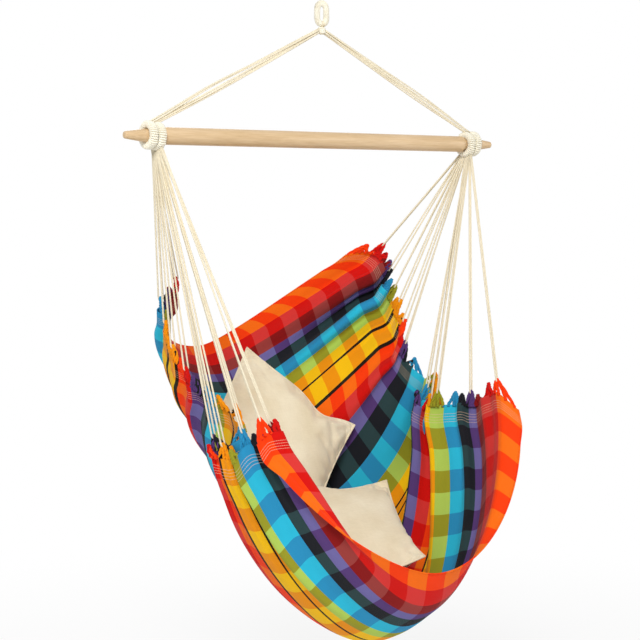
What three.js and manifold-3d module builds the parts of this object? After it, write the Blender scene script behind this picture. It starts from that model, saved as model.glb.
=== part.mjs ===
// Hammock chair: a checked cotton seat hung by two fans of cords from a turned spreader bar, which
// hangs by two bridle legs from one whipped eye. Lengths are millimetres and +Z is up. The bar lies
// along X, the sitter faces -Y, and the origin is the point in the eye where the hook bears.
import * as THREE from 'three';
import { mergeVertices } from 'three/addons/utils/BufferGeometryUtils.js';
import Module from 'manifold-3d';

const wasm = await Module();
wasm.setup();

// Whole chair
const hookToBar = 319;
const gap = 0.3;
const windingGap = 0.45;

// Spreader bar
const barLength = 1100;
const barDiameter = 40;
const neckDiameter = 30;
const tipDiameter = 17;
const tipRound = 3;
const shoulderRun = 6;
const collarSpan = 952;
const barFacets = 24;

// Collars, the whipped rope rings round the bar's necks
const twineDiameter = 3.6;
const collarCoreWidth = 12;
const collarCoreDepth = 11;
const collarPlay = 0.6;
const collarSpacing = 1;
const collarTurns = 16;
const collarTurnShare = 0.94;

// Hanging eye and the throat under it
const eyeOpeningWidth = 12;
const eyeOpeningHeight = 34;
const eyeRopeDiameter = 9;
const eyeTwineDiameter = 2.4;
const eyeTurns = 20;
const eyeTurnShare = 0.86;
const throatRopeDiameter = 13;
const throatLength = 17;
const throatTurns = 3;

// Cords
const cordDiameter = 3.4;
const bridleRowCounts = [3, 2];
const fanSpread = 42;

// Seat cloth: half its span, its reach fore and aft, and the heights of the two fans of loops
const clothWidth = 1440;
const seatHalfSpan = 400;
const seatReach = 400;
const fanTop = 250;
const fanHeight = 450;
const clothThickness = 3;
const hangTurn = THREE.MathUtils.degToRad(80);
const ridgeRoundShare = 0.22;
const pleatRunShare = 0.8;
const pleatWindowShare = 0.104;
const hemDrop = 22;
const hemRunShare = 0.05;
const hemBlendShare = 0.1;
const foldThinShare = 0.35;

// Fringe loops at the cloth's ends
const loopHeight = 35;
const loopWidth = 24;
const fringeDiameter = 6;
const headingHeight = 8;
const seamGap = 0.55;

// Cushions
const backCushionThickness = 90;
const seatCushionThickness = 120;
const backCushionSags = [0, 20];
const seatCushionSags = [30, 60];
const backCushionWay = THREE.MathUtils.degToRad(23.5);
const coverWall = 1.5;
const fillingPlay = 0.6;
const seamAllowance = 9;
const zipLength = 150;
const zipWidth = 6;
const cushionSeat = 0.6;
const cushionLift = 5;

// Sections of the wound and bent pieces
const turnSteps = 6;
const turnFacets = 4;
const cordFacets = 6;
const loopFacets = 4;
const bendSteps = 4;
const facetShare = Math.cos(Math.PI / turnSteps);

// Where the loops' tips lie. Each row gives the share of the cloth's width from the back edge, then
// the shares out, back and down on the right side, then the same on the left side.
const loopShares = [
  [0.000, 0.69, 0.53, 0.03, 0.69, 0.58, 0.21],
  [0.021, 0.76, 0.47, 0.01, 0.71, 0.53, 0.18],
  [0.043, 0.83, 0.42, 0.02, 0.74, 0.48, 0.18],
  [0.076, 0.83, 0.36, 0.05, 0.79, 0.42, 0.20],
  [0.108, 0.87, 0.39, 0.11, 0.87, 0.35, 0.22],
  [0.153, 0.90, 0.43, 0.17, 0.83, 0.44, 0.24],
  [0.188, 0.83, 0.33, 0.21, 0.89, 0.41, 0.28],
  [0.222, 0.88, 0.36, 0.26, 0.88, 0.36, 0.33],
  [0.250, 0.87, 0.31, 0.31, 0.91, 0.32, 0.40],
  [0.281, 0.85, 0.27, 0.34, 0.92, 0.28, 0.47],
  [0.309, 0.85, 0.23, 0.39, 0.92, 0.23, 0.52],
  [0.337, 0.82, 0.19, 0.45, 0.89, 0.19, 0.58],
  [0.361, 0.78, 0.16, 0.52, 0.90, 0.12, 0.63],
  [0.389, 0.80, 0.16, 0.57, 0.89, 0.06, 0.66],
  [0.424, 0.86, 0.13, 0.65, 0.87, -0.04, 0.72],
  [0.472, 1.00, 0.10, 0.76, 0.89, -0.19, 0.73],
  [0.514, 0.95, 0.03, 0.79, 0.89, -0.37, 0.78],
  [0.559, 0.89, 0.05, 0.82, 0.95, -0.49, 0.85],
  [0.604, 0.81, 0.05, 0.84, 0.97, -0.27, 0.94],
  [0.646, 0.88, 0.00, 0.88, 1.00, -0.26, 0.96],
  [0.698, 0.93, -0.04, 0.88, 0.98, -0.38, 0.97],
  [0.750, 0.83, -0.05, 0.84, 0.97, -0.44, 0.96],
  [0.781, 0.85, -0.10, 0.84, 1.00, -0.48, 0.97],
  [0.809, 0.91, -0.20, 0.83, 0.96, -0.54, 0.89],
  [0.844, 0.92, -0.25, 0.82, 0.93, -0.59, 0.88],
  [0.875, 0.95, -0.30, 0.83, 0.91, -0.63, 0.87],
  [0.903, 0.96, -0.35, 0.82, 0.86, -0.67, 0.85],
  [0.938, 0.93, -0.48, 0.76, 0.86, -0.70, 0.82],
  [0.972, 0.90, -0.59, 0.74, 0.95, -0.69, 0.82],
  [1.000, 0.97, -0.68, 0.83, 0.98, -0.67, 0.87],
];

// The cloth's middle line from the back edge to the front lip: the share of the width, then the
// shares out, back and down, of the same sizes as the loops.
const middleShares = [
  [0.000, -0.12, 1.20, 0.62],
  [0.076, -0.12, 1.05, 0.72],
  [0.174, -0.11, 0.84, 0.87],
  [0.267, -0.08, 0.66, 1.03],
  [0.319, -0.05, 0.58, 1.14],
  [0.389, 0.00, 0.41, 1.38],
  [0.458, 0.00, 0.21, 1.64],
  [0.528, 0.00, 0.00, 1.88],
  [0.611, 0.00, -0.25, 2.03],
  [0.694, 0.00, -0.48, 2.08],
  [0.764, 0.00, -0.68, 2.02],
  [0.833, 0.00, -0.84, 1.93],
  [0.917, 0.00, -1.00, 1.81],
  [1.000, 0.00, -1.12, 1.62],
];

// Rows of the loop table that a suspension cord goes through, and the cloth's columns as shares
const cordedRightIndexes = [2, 5, 7, 9, 11, 13, 15, 17, 19, 22, 25, 28];
const cordedLeftIndexes = [2, 6, 8, 10, 12, 14, 16, 18, 20, 23, 26, 28];
const columnShares = [0, 0.13, 0.27, 0.41, 0.55, 0.69, 0.83, 0.95, 1];

// Cushion corners as shares out, back and down, of the same sizes as the loops
const backCushionCornerShares = [
  [-0.065, 0.71, 0.587],
  [0.475, 0.28, 1.027],
  [-0.075, -0.01, 1.527],
  [-0.625, 0.40, 1.067],
];
const seatCushionCornerShares = [
  [0.41, -0.13, 1.30],
  [0.10, -0.86, 1.58],
  [-0.71, -0.56, 1.52],
  [-0.39, 0.12, 1.13],
];

// Colours
const wood = { color: 0xdcc29a, roughness: 0.55, metalness: 0 };
const cotton = { color: 0xf0e6cd, roughness: 0.9, metalness: 0 };
const twine = { color: 0xf3ecd9, roughness: 0.85, metalness: 0 };
const checked = { color: 0xe8621e, roughness: 0.92, metalness: 0 };
const fringeCotton = { color: 0xd9a021, roughness: 0.92, metalness: 0 };
const linen = { color: 0xe8dcc0, roughness: 0.95, metalness: 0 };
const wadding = { color: 0xf7f5ef, roughness: 1, metalness: 0 };
const zipTape = { color: 0xe2d6b8, roughness: 0.8, metalness: 0 };

const chair = new THREE.Group();

function addPiece(name, geometry, finish) {
  const piece = new THREE.Mesh(geometry, new THREE.MeshStandardMaterial(finish));
  piece.name = name;
  chair.add(piece);
}

// Solids from lists of points and triangles

function solid(points, triangles) {
  let volume = 0;
  for (const [a, b, c] of triangles) {
    volume += points[a].dot(points[b].clone().cross(points[c]));
  }
  const order = volume < 0 ? [0, 2, 1] : [0, 1, 2];
  const geometry = new THREE.BufferGeometry();
  const places = points.flatMap((point) => point.toArray());
  geometry.setAttribute('position', new THREE.Float32BufferAttribute(places, 3));
  geometry.setIndex(triangles.flatMap((triangle) => order.map((corner) => triangle[corner])));
  geometry.computeVertexNormals();
  return geometry;
}

function quad(a, b, c, d) {
  return [[a, b, c], [a, c, d]];
}

function ringWalls(ringCount, sides, closed) {
  const triangles = [];
  const last = closed ? ringCount : ringCount - 1;
  for (let ring = 0; ring < last; ring += 1) {
    const here = ring * sides;
    const next = ((ring + 1) % ringCount) * sides;
    for (let side = 0; side < sides; side += 1) {
      const after = (side + 1) % sides;
      triangles.push(...quad(here + side, here + after, next + after, next + side));
    }
  }
  if (!closed) {
    const end = (ringCount - 1) * sides;
    for (let side = 1; side < sides - 1; side += 1) {
      triangles.push([0, side + 1, side], [end, end + side, end + side + 1]);
    }
  }
  return triangles;
}

// A tube along points, with sections square to its path that turn as little as they can
function tube(points, radius, sides, closed = false, firstNormal = null) {
  const count = points.length;
  const tangents = points.map((point, i) => {
    const before = points[closed ? (i + count - 1) % count : Math.max(i - 1, 0)];
    const after = points[closed ? (i + 1) % count : Math.min(i + 1, count - 1)];
    return after.clone().sub(before).normalize();
  });
  const spare = Math.abs(tangents[0].y) < facetShare ? 1 : 0;
  const normal = firstNormal ? firstNormal.clone() : new THREE.Vector3(1 - spare, spare, 0);
  const ring = [];
  for (let i = 0; i < count; i += 1) {
    const tangent = tangents[i];
    normal.addScaledVector(tangent, -normal.dot(tangent)).normalize();
    const across = tangent.clone().cross(normal);
    for (let side = 0; side < sides; side += 1) {
      const angle = (2 * Math.PI * side) / sides;
      const place = points[i].clone();
      place.addScaledVector(normal, radius * Math.cos(angle));
      place.addScaledVector(across, radius * Math.sin(angle));
      ring.push(place);
    }
  }
  return solid(ring, ringWalls(count, sides, closed));
}

// Two grids of points over one another, joined all round their border
function slab(upper, lower) {
  const rows = upper.length;
  const columns = upper[0].length;
  const points = [...upper.flat(), ...lower.flat()];
  const shift = rows * columns;
  const at = (row, column) => row * columns + column;
  const triangles = [];
  for (let row = 0; row < rows - 1; row += 1) {
    for (let column = 0; column < columns - 1; column += 1) {
      const a = at(row, column);
      const b = at(row, column + 1);
      const c = at(row + 1, column + 1);
      const d = at(row + 1, column);
      triangles.push(...quad(a, b, c, d), ...quad(a + shift, d + shift, c + shift, b + shift));
    }
  }
  const border = [];
  for (let column = 0; column < columns - 1; column += 1) border.push(at(0, column));
  for (let row = 0; row < rows - 1; row += 1) border.push(at(row, columns - 1));
  for (let column = columns - 1; column > 0; column -= 1) border.push(at(rows - 1, column));
  for (let row = rows - 1; row > 0; row -= 1) border.push(at(row, 0));
  border.forEach((here, i) => {
    const next = border[(i + 1) % border.length];
    triangles.push(...quad(here, here + shift, next + shift, next));
  });
  return solid(points, triangles);
}

function toManifold(geometry) {
  const bare = geometry.clone();
  bare.deleteAttribute('normal');
  bare.deleteAttribute('uv');
  const merged = mergeVertices(bare);
  return new wasm.Manifold(new wasm.Mesh({
    numProp: 3,
    vertProperties: new Float32Array(merged.attributes.position.array),
    triVerts: new Uint32Array(merged.index.array),
  }));
}

function fromManifold(manifold) {
  const mesh = manifold.getMesh();
  const geometry = new THREE.BufferGeometry();
  geometry.setAttribute('position', new THREE.BufferAttribute(mesh.vertProperties, 3));
  geometry.setIndex(new THREE.BufferAttribute(mesh.triVerts, 1));
  geometry.computeVertexNormals();
  return geometry;
}

function smooth(share) {
  const inside = THREE.MathUtils.clamp(share, 0, 1);
  return inside * inside * (3 - 2 * inside);
}

function mix(a, b, share) {
  return a + (b - a) * share;
}

// A smooth curve through places, each a point with its share of the way along
function curveThrough(places) {
  const slopes = places.map((place, i) => {
    const before = places[Math.max(i - 1, 0)];
    const after = places[Math.min(i + 1, places.length - 1)];
    return after.point.clone().sub(before.point).divideScalar(after.share - before.share);
  });
  return (share) => {
    let i = 0;
    while (i < places.length - 2 && share > places[i + 1].share) i += 1;
    const run = places[i + 1].share - places[i].share;
    const t = (share - places[i].share) / run;
    const result = places[i].point.clone().multiplyScalar(2 * t ** 3 - 3 * t ** 2 + 1);
    result.addScaledVector(slopes[i], run * (t ** 3 - 2 * t ** 2 + t));
    result.addScaledVector(places[i + 1].point, 3 * t ** 2 - 2 * t ** 3);
    return result.addScaledVector(slopes[i + 1], run * (t ** 3 - t ** 2));
  };
}

// Spreader bar: a full middle, shouldered down to necks for the collars, and tapered tips

const barZ = -hookToBar;
const twineRadius = twineDiameter / 2;
const windingReach = (twineRadius + windingGap) / facetShare;
const windingHalfDepth = collarCoreDepth / 2 + windingReach;
const windingHalfWidth = collarCoreWidth / 2 + windingReach;
const collarWidth = 2 * (windingHalfWidth + twineRadius);
const collarRadius = neckDiameter / 2 + collarPlay + twineRadius + windingHalfDepth;
const collarOutside = collarRadius + windingHalfDepth + twineRadius;
const collarStep = (collarWidth + collarSpacing) / 2;
const seatCollarX = collarSpan / 2 - collarStep;
const bridleCollarX = collarSpan / 2 + collarStep;

function barGeometry() {
  const half = barLength / 2;
  const neckInner = seatCollarX - collarWidth / 2 - collarSpacing;
  const neckOuter = bridleCollarX + collarWidth / 2 + collarSpacing;
  const rightHalf = [
    [barDiameter / 2, neckInner - shoulderRun],
    [mix(neckDiameter, barDiameter, 0.7) / 2, neckInner - shoulderRun * 0.3],
    [neckDiameter / 2, neckInner],
    [neckDiameter / 2, neckOuter],
    [tipDiameter / 2, half - tipRound],
    [tipDiameter / 2 - tipRound * 0.3, half - tipRound * 0.3],
    [tipDiameter / 2 - tipRound, half],
    [0, half],
  ];
  const leftHalf = rightHalf.map(([radius, along]) => [radius, -along]).reverse();
  const profile = [...leftHalf, ...rightHalf].map(([radius, along]) => new THREE.Vector2(radius, along));
  const bar = new THREE.LatheGeometry(profile, barFacets);
  return bar.rotateZ(-Math.PI / 2).translate(0, 0, barZ);
}

addPiece('spreader_bar', barGeometry(), wood);

// Windings: unbroken helices laid round a rope, with their least gap to themselves

function leastGap(points, diameter, stepsApart) {
  let least = Infinity;
  for (let i = 0; i < points.length; i += 1) {
    for (let j = i + stepsApart; j < points.length; j += 1) {
      least = Math.min(least, points[i].distanceTo(points[j]));
    }
  }
  return least - diameter;
}

function withStraightEnds(points, run) {
  const first = points[0].clone().sub(points[1]).setLength(run).add(points[0]);
  const beforeLast = points[points.length - 2];
  const lastPoint = points[points.length - 1];
  const last = lastPoint.clone().sub(beforeLast).setLength(run).add(lastPoint);
  return [first, ...points, last];
}

function winding(name, placeAt, turns, diameter) {
  const points = [];
  const steps = turns * turnSteps;
  for (let step = 0; step <= steps; step += 1) {
    points.push(placeAt(step / steps, (2 * Math.PI * step) / turnSteps));
  }
  console.log(`${name}: least gap ${leastGap(points, diameter, turnSteps / 2 + 1).toFixed(2)} mm`);
  return tube(withStraightEnds(points, diameter), diameter / 2, turnFacets);
}

// Collars: a rope ring round each neck under a winding of twine

function collarPlace(x, turn, angle) {
  const round = mix(1 - collarTurnShare, 1 + collarTurnShare, turn) * Math.PI;
  const radius = collarRadius + windingHalfDepth * Math.cos(angle);
  return new THREE.Vector3(
    x + windingHalfWidth * Math.sin(angle),
    radius * Math.sin(round),
    barZ - radius * Math.cos(round),
  );
}

function collarCore(x) {
  const profile = [];
  for (let step = 0; step <= turnSteps; step += 1) {
    const angle = (2 * Math.PI * (step % turnSteps)) / turnSteps;
    const radius = collarRadius + (collarCoreDepth / 2) * Math.cos(angle);
    profile.push(new THREE.Vector2(radius, (collarCoreWidth / 2) * Math.sin(angle)));
  }
  const core = new THREE.LatheGeometry(profile, barFacets);
  return core.rotateZ(-Math.PI / 2).translate(x, 0, barZ);
}

for (const [side, sign] of [['left', -1], ['right', 1]]) {
  for (const [kind, x] of [['bridle', bridleCollarX], ['seat', seatCollarX]]) {
    const name = `${kind}_collar_${side}`;
    addPiece(`${name}_rope`, collarCore(sign * x), cotton);
    const wound = winding(
      `${name}_whipping`,
      (turn, angle) => collarPlace(sign * x, turn, angle),
      collarTurns,
      twineDiameter,
    );
    addPiece(`${name}_whipping`, wound, twine);
  }
}

// Hanging eye: a closed rope loop in the X-Z plane, narrower at the throat, under its whipping

const eyeTwineRadius = eyeTwineDiameter / 2;
const eyeReach = eyeRopeDiameter / 2 + (eyeTwineRadius + windingGap) / facetShare;
const eyeLimb = eyeReach + eyeTwineRadius;
const eyeBend = eyeOpeningWidth / 2 + eyeLimb;
const eyeRun = eyeOpeningHeight - eyeOpeningWidth;
const eyeLength = 2 * (eyeRun + Math.PI * eyeBend);

// The eye's middle line, walked from its lowest point up the right limb and down the left
function eyePlace(share) {
  const along = (((share % 1) + 1) % 1) * eyeLength;
  const quarter = (Math.PI * eyeBend) / 2;
  const folded = Math.min(along, eyeLength - along);
  const sign = along <= eyeLength / 2 ? 1 : -1;
  const bottom = -eyeOpeningWidth / 2 - eyeRun;
  if (folded < quarter) {
    const angle = folded / eyeBend;
    const height = bottom - eyeBend * Math.cos(angle);
    return new THREE.Vector3(sign * eyeBend * Math.sin(angle), 0, height);
  }
  if (folded < quarter + eyeRun) {
    return new THREE.Vector3(sign * eyeBend, 0, bottom + folded - quarter);
  }
  const angle = (folded - quarter - eyeRun) / eyeBend;
  const height = -eyeOpeningWidth / 2 + eyeBend * Math.sin(angle);
  return new THREE.Vector3(sign * eyeBend * Math.cos(angle), 0, height);
}

function eyeWindingPlace(turn, angle) {
  const share = mix(1 - eyeTurnShare, 1 + eyeTurnShare, turn) / 2;
  const step = 1 / (eyeTurns * turnSteps);
  const tangent = eyePlace(share + step).sub(eyePlace(share - step)).normalize();
  const inPlane = new THREE.Vector3(tangent.z, 0, -tangent.x);
  const place = eyePlace(share).addScaledVector(inPlane, eyeReach * Math.cos(angle));
  place.y = eyeReach * Math.sin(angle);
  return place;
}

const eyeRings = 26;
const eyePoints = Array.from({ length: eyeRings }, (_, i) => eyePlace(i / eyeRings));
const acrossEye = new THREE.Vector3(0, 1, 0);
const eyeCore = tube(eyePoints, eyeRopeDiameter / 2, turnSteps, true, acrossEye);
addPiece('hanging_eye_rope', eyeCore, cotton);
const eyeWound = winding('hanging_eye_whipping', eyeWindingPlace, eyeTurns, eyeTwineDiameter);
addPiece('hanging_eye_whipping', eyeWound, twine);

// Throat: the gathered cords under the eye, domed where they turn below it, and their binding

const eyeFoot = -eyeOpeningHeight - eyeLimb - eyeRopeDiameter / 2;
const throatRadius = throatRopeDiameter / 2;
const throatPivotZ = eyeFoot - gap - throatRadius;
const throatFoot = throatPivotZ - throatLength;

function throatRope() {
  const dome = [];
  for (let step = 0; step <= 4; step += 1) {
    const angle = (Math.PI * step) / 8;
    const height = throatPivotZ + throatRadius * Math.sin(angle);
    dome.push(new THREE.Vector2(throatRadius * Math.cos(angle), height));
  }
  const profile = [new THREE.Vector2(0, throatFoot), new THREE.Vector2(throatRadius, throatFoot), ...dome];
  return new THREE.LatheGeometry(profile, turnSteps).rotateX(Math.PI / 2).rotateZ(Math.PI / 2);
}

function throatPlace(turn, angle) {
  const reach = throatRadius + windingReach;
  const top = throatPivotZ - twineRadius;
  const pitch = twineDiameter + windingGap;
  return new THREE.Vector3(reach * Math.cos(angle), reach * Math.sin(angle), top - pitch * throatTurns * turn);
}

addPiece('throat_rope', throatRope(), cotton);
addPiece('throat_binding', winding('throat_binding', throatPlace, throatTurns, twineDiameter), twine);

// Bridle cords: two taut legs, each a small bundle from the throat to its collar's top

const cordRadius = cordDiameter / 2;
const cordPitch = cordDiameter + gap;

function addBridleLeg(side, sign) {
  const foot = new THREE.Vector3(sign * bridleCollarX, 0, barZ + collarOutside);
  const head = new THREE.Vector3(sign * cordPitch, 0, throatFoot - gap);
  const down = foot.clone().sub(head).normalize();
  const lift = new THREE.Vector3(-down.z * sign, 0, down.x * sign);
  const rowRise = cordPitch * Math.sin(Math.PI / 3);
  head.addScaledVector(lift, -(bridleRowCounts.length - 1) * rowRise - cordRadius);
  foot.z += gap + cordRadius * lift.z;
  let number = 0;
  bridleRowCounts.forEach((count, row) => {
    for (let place = 0; place < count; place += 1) {
      number += 1;
      const across = (place - (count - 1) / 2) * cordPitch;
      const shift = lift.clone().multiplyScalar(row * rowRise);
      shift.y = across;
      const points = [head.clone().add(shift), foot.clone().add(shift)];
      addPiece(`bridle_cord_${side}_${number}`, tube(points, cordRadius, cordFacets), cotton);
    }
  });
}

addBridleLeg('left', -1);
addBridleLeg('right', 1);

// Seat cloth, worked out from the loops' tips and the middle line

function seatPoint(out, back, down) {
  return new THREE.Vector3(
    out * seatHalfSpan,
    back * seatReach,
    barZ - fanTop - down * fanHeight,
  );
}

const middleLine = curveThrough(
  middleShares.map(([share, out, back, down]) => ({ share, point: seatPoint(out, back, down) })),
);

function collarFoot(sign) {
  return new THREE.Vector3(sign * seatCollarX, 0, barZ - collarOutside);
}

function makeSide(sign) {
  const offset = sign > 0 ? 1 : 4;
  const tips = loopShares.map((row) => ({
    share: row[0],
    point: seatPoint(sign * row[offset], row[offset + 1], row[offset + 2]),
  }));
  const tipCurve = curveThrough(tips);
  const upAt = (point) => collarFoot(sign).sub(point).normalize();
  const endAt = (share) => {
    const inside = THREE.MathUtils.clamp(share, 0, 1);
    const tip = tipCurve(inside);
    const end = tip.clone().addScaledVector(upAt(tip), -loopHeight - headingHeight - seamGap);
    return { inside, end };
  };
  const end = (share) => {
    const { inside, end: edge } = endAt(share);
    if (inside === share) return edge;
    return edge.multiplyScalar(2).sub(endAt(2 * inside - share).end);
  };
  const smoothEnd = (share) => {
    const sum = new THREE.Vector3();
    const window = [-1, -2 / 3, -1 / 3, 0, 1 / 3, 2 / 3, 1];
    for (const step of window) sum.add(end(share + step * pleatWindowShare));
    return sum.divideScalar(window.length);
  };
  const corded = sign > 0 ? cordedRightIndexes : cordedLeftIndexes;
  return { sign, tips, tipCurve, upAt, end, smoothEnd, corded };
}

const sides = [makeSide(-1), makeSide(1)];

// How straight the cloth is drawn between its ends, rather than hanging as a deep curve
function straightness(sign, share) {
  if (sign > 0) return 1 - smooth((share - 0.292) / 0.18) + 0.25 * smooth((share - 0.528) / 0.18);
  return 0.45 * smooth((share - 0.486) / 0.14);
}

function clothPoint(side, run, share) {
  const turn = run * hangTurn;
  const deepRise = (1 - Math.cos(turn)) / (1 - Math.cos(hangTurn));
  const deepReach = Math.sin(turn) / Math.sin(hangTurn);
  const round = ridgeRoundShare;
  const straightRise = (Math.hypot(run, round) - round) / (Math.hypot(1, round) - round);
  const straight = straightness(side.sign, share);
  const rise = mix(deepRise, straightRise, straight);
  const reach = mix(deepReach, run, straight);
  const middle = middleLine(share);
  const hem = side.smoothEnd(share);
  const edge = side.end(share);
  const pleat = edge.clone().sub(hem).multiplyScalar(smooth(run / pleatRunShare));
  pleat.add(new THREE.Vector3(
    mix(middle.x, hem.x, reach),
    mix(middle.y, hem.y, rise),
    mix(middle.z, hem.z, rise),
  ));
  const drop = (hemDrop * (1 - run)) / hemRunShare;
  const hanging = edge.addScaledVector(side.upAt(side.tipCurve(share)), -drop);
  const blend = smooth((run - 1 + hemRunShare + hemBlendShare) / hemBlendShare);
  return pleat.lerp(hanging, blend);
}

// The hem's normal at a row, shorter at a sharp fold so that the cloth thins there
function hemNormal(side, row) {
  const up = side.upAt(side.tips[row].point);
  const normal = new THREE.Vector3();
  for (const first of [row - 1, row]) {
    const from = side.tips[THREE.MathUtils.clamp(first, 0, side.tips.length - 2)].point;
    const to = side.tips[THREE.MathUtils.clamp(first, 0, side.tips.length - 2) + 1].point;
    normal.addScaledVector(to.clone().sub(from).cross(up).normalize(), 0.5);
  }
  return normal.clampLength(foldThinShare, 1);
}

// Normals of a grid of points, from each point's neighbours
function gridNormals(grid) {
  return grid.map((line, row) => line.map((point, column) => {
    const up = grid[Math.min(row + 1, grid.length - 1)][column].clone();
    up.sub(grid[Math.max(row - 1, 0)][column]);
    const along = line[Math.min(column + 1, line.length - 1)].clone();
    along.sub(line[Math.max(column - 1, 0)]);
    return up.cross(along).normalize();
  }));
}

function offsetGrid(grid, normals, distance) {
  return grid.map((line, row) => line.map(
    (point, column) => point.clone().addScaledVector(normals[row][column], distance),
  ));
}

const clothColumns = [
  ...columnShares.slice(1).reverse().map((run) => [sides[0], run]),
  ...columnShares.map((run) => [sides[1], run]),
];

function clothGrid() {
  return loopShares.map(([share]) => clothColumns.map(([side, run]) => clothPoint(side, run, share)));
}

function clothNormals(grid) {
  const normals = gridNormals(grid);
  normals.forEach((line, row) => {
    sides.forEach((side, end) => {
      const column = end === 0 ? 0 : line.length - 1;
      line[column] = hemNormal(side, row).multiplyScalar(side.sign);
    });
  });
  return normals;
}

const clothMiddle = clothGrid();
const clothFacing = clothNormals(clothMiddle);
const clothSolid = slab(
  offsetGrid(clothMiddle, clothFacing, clothThickness / 2),
  offsetGrid(clothMiddle, clothFacing, -clothThickness / 2),
);
addPiece('seat_cloth', clothSolid, checked);

// Fringe: the heading strip along each end of the cloth, with a loop for each suspension cord

const fringeRadius = fringeDiameter / 2;

// A place on the heading's middle line, which runs straight between the loop table's rows
function headingPlace(side, share, height) {
  const at = (row) => {
    const { point } = side.tips[row];
    return point.clone().addScaledVector(side.upAt(point), height - loopHeight - headingHeight);
  };
  let row = 0;
  while (row < side.tips.length - 2 && share > side.tips[row + 1].share) row += 1;
  const run = side.tips[row + 1].share - side.tips[row].share;
  return at(row).lerp(at(row + 1), (share - side.tips[row].share) / run);
}

function fringeGeometry(side) {
  const strip = side.tips.map(({ point }, row) => {
    const up = side.upAt(point);
    const across = hemNormal(side, row);
    return [0, headingHeight].map((height) => [-1, 1].map((half) => {
      const place = point.clone().addScaledVector(up, height - loopHeight - headingHeight);
      return place.addScaledVector(across, (half * clothThickness) / 2);
    }));
  });
  const corners = strip.flatMap(([foot, top]) => [foot[1], foot[0], top[0], top[1]]);
  let fringe = toManifold(solid(corners, ringWalls(strip.length, 4, false)));
  for (const row of side.corded) {
    fringe = fringe.add(toManifold(fringeLoop(side, row)));
  }
  return fromManifold(fringe);
}

// A loop's own directions: up towards the collar, along the heading and out through the loop
function loopFrame(side, row) {
  const { point: tip, share } = side.tips[row];
  const up = side.upAt(tip);
  const halfShare = loopWidth / clothWidth / 2;
  const feet = [-1, 1].map((end) => headingPlace(side, share + end * halfShare, headingHeight / 2));
  const along = feet[1].clone().sub(feet[0]);
  along.addScaledVector(up, -along.dot(up));
  const half = along.length() / 2;
  along.normalize();
  const outward = along.clone().cross(up);
  if (outward.x * side.sign < 0) outward.negate();
  return { tip, up, feet, along, outward, half };
}

function fringeLoop(side, row) {
  const { tip, up, feet, along, half } = loopFrame(side, row);
  const points = [feet[0]];
  for (let step = 0; step <= bendSteps; step += 1) {
    const angle = (Math.PI * step) / bendSteps;
    const place = tip.clone().addScaledVector(along, -half * Math.cos(angle));
    points.push(place.addScaledVector(up, half * Math.sin(angle) - half));
  }
  points.push(feet[1]);
  return tube(points, fringeRadius, loopFacets, false, up);
}

for (const side of sides) {
  addPiece(side.sign > 0 ? 'fringe_right' : 'fringe_left', fringeGeometry(side), fringeCotton);
}

// Suspension cords: each comes down from the seat collar, goes through its loop and back up

const bightReach = (fringeRadius + 1.5 * gap + cordRadius) / Math.cos(Math.PI / bendSteps / 2);

function suspensionCord(side, row, column, columns) {
  const { tip, up, outward } = loopFrame(side, row);
  const headY = fanSpread * (0.5 - column / (columns - 1));
  const headZ = barZ - Math.sqrt(collarOutside ** 2 - headY ** 2) - cordDiameter / 2;
  const head = (share) => new THREE.Vector3(
    side.sign * seatCollarX + (side.sign * share * (cordDiameter + gap * 2)) / 2,
    headY,
    headZ,
  );
  const points = [head(1)];
  for (let step = 0; step <= bendSteps; step += 1) {
    const angle = (Math.PI * step) / bendSteps;
    const place = tip.clone().addScaledVector(outward, bightReach * Math.cos(angle));
    points.push(place.addScaledVector(up, -bightReach * Math.sin(angle)));
  }
  points.push(head(-1));
  return tube(points, cordRadius, cordFacets);
}

for (const side of sides) {
  const lean = (row) => {
    const tip = side.tips[row].point;
    return Math.atan2(tip.y, barZ - tip.z);
  };
  const ordered = [...side.corded].sort((a, b) => lean(b) - lean(a));
  const word = side.sign > 0 ? 'right' : 'left';
  ordered.forEach((row, column) => {
    const cord = suspensionCord(side, row, column, ordered.length);
    addPiece(`seat_cord_${word}_${column + 1}`, cord, cotton);
  });
}

// Cushions: crowned squares with pointed corners and drawn-in sides, laid on the cloth

const cushionSteps = 10;
const sidePullShare = 0.07;
const crownPower = 0.6;

function cushionMaker(cornerShares, sags, thickness) {
  const corners = cornerShares.map(([out, back, down]) => seatPoint(out, back, down));
  const [a, b, c, d] = corners;
  const facing = b.clone().sub(a).cross(d.clone().sub(a)).normalize();
  if (facing.z < 0) facing.negate();
  const edge = a.distanceTo(b);
  const middle = (p, q) => {
    const near = a.clone().lerp(b, (p + 1) / 2);
    const far = d.clone().lerp(c, (p + 1) / 2);
    const place = near.lerp(far, (q + 1) / 2);
    const sag = sags[0] * (1 - p * p) + sags[1] * (1 - q * q);
    return place.addScaledVector(facing, -sag);
  };
  const surfaces = (inset, height, steps) => {
    const shrink = 1 - (2 * inset) / edge;
    return [1, -1].map((half) => {
      const grid = [];
      for (let row = 0; row <= steps; row += 1) {
        const q = Math.sin((Math.PI * (2 * row - steps)) / steps / 2);
        const line = [];
        for (let column = 0; column <= steps; column += 1) {
          const p = Math.sin((Math.PI * (2 * column - steps)) / steps / 2);
          const crown = Math.abs((1 - p * p) * (1 - q * q)) ** crownPower;
          const place = middle(
            shrink * p * (1 - sidePullShare * (1 - q * q)),
            shrink * q * (1 - sidePullShare * (1 - p * p)),
          );
          const rim = row === 0 || column === 0 || row === steps || column === steps;
          const rise = rim ? 0 : (half * height * crown) / 2;
          line.push(place.addScaledVector(facing, rise));
        }
        grid.push(line);
      }
      return grid;
    });
  };
  return { facing, edge, middle, surfaces, thickness };
}

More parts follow.
